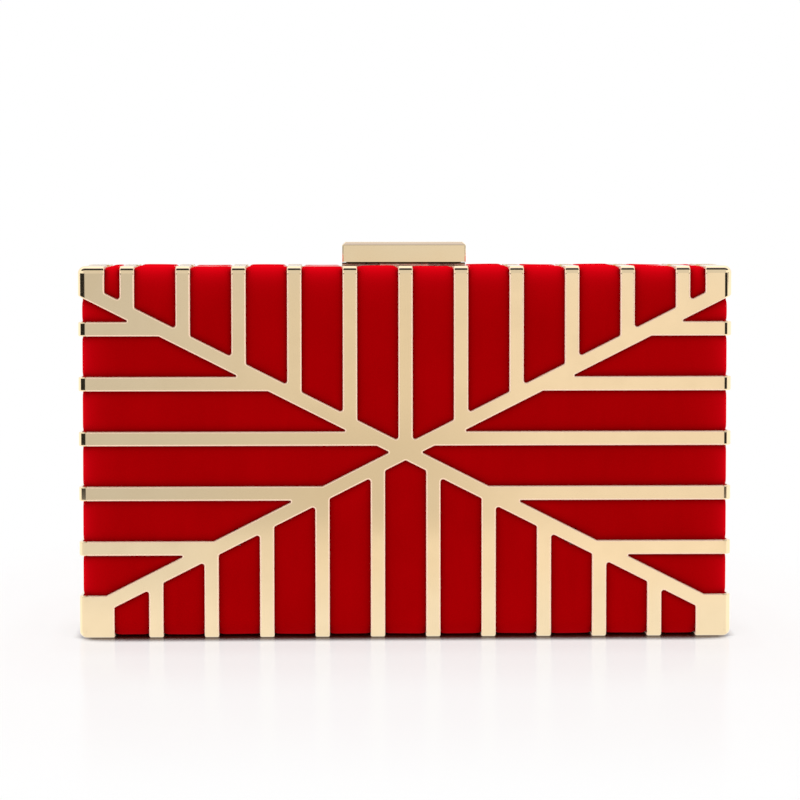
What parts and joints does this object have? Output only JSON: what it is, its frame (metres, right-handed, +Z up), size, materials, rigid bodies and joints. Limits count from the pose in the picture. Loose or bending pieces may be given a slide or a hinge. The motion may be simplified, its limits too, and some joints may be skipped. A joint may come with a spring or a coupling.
{
  "type": "minaudiere",
  "caption": "Hard box clutch in red velvet inside an openwork metal cage of straight bars, hinged along the base, with a sprung clasp bar on top.",
  "frame": {"origin": "under the middle of the base, on the plane the case stands on", "axes": "+X to the right along the width, +Y to the back through the depth, +Z up; the front faces -Y"},
  "size_m": [0.2, 0.046, 0.1212],
  "materials": {
    "champagne_metal": "polished champagne gold plate",
    "red_velvet": "short red pile",
    "padding_foam": "soft foam sheet",
    "shell_plastic": "moulded",
    "lining_satin": "champagne satin",
    "spring_steel": "bright"
  },
  "bodies": {
    "back_half": {"back_shell": "shell_plastic", "back_padding": "padding_foam", "back_velvet": "red_velvet", "back_cage": "champagne_metal", "back_cage_screws": "spring_steel", "back_rim": "champagne_metal", "back_lining": "lining_satin", "back_hinge_leaf_left": "champagne_metal", "back_hinge_leaf_right": "champagne_metal", "hinge_pin_left": "spring_steel", "hinge_pin_right": "spring_steel", "back_hinge_rivets": "champagne_metal", "clasp_base": "champagne_metal", "clasp_base_rivets": "champagne_metal", "clasp_pivot_pin": "spring_steel", "clasp_spring": "spring_steel", "chain_lug_left": "champagne_metal", "chain_lug_right": "champagne_metal", "chain_lug_rivets": "champagne_metal"},
    "front_half": {"front_shell": "shell_plastic", "front_padding": "padding_foam", "front_velvet": "red_velvet", "front_cage": "champagne_metal", "front_cage_screws": "spring_steel", "front_rim": "champagne_metal", "front_lining": "lining_satin", "front_hinge_leaf_left": "champagne_metal", "front_hinge_leaf_right": "champagne_metal", "front_hinge_rivets": "champagne_metal", "clasp_strike": "champagne_metal", "clasp_strike_rivets": "champagne_metal"},
    "clasp_lever": {"clasp_bar": "champagne_metal", "clasp_hook": "spring_steel", "clasp_hook_rivets": "champagne_metal"}
  },
  "joints": [
    {"name": "case_open", "type": "hinge", "parent": "back_half", "child": "front_half", "pos_m": [0, 0, 0.003], "axis": [1, 0, 0], "range_deg": [0, 90]},
    {"name": "clasp_tilt", "type": "hinge", "parent": "back_half", "child": "clasp_lever", "pos_m": [0, 0.0028, 0.1168], "axis": [-1, 0, 0], "range_deg": [0, 16], "stiffness_Nm_per_rad": 0.03, "springref_deg": -28.65, "deforming": ["clasp_spring"]}
  ]
}
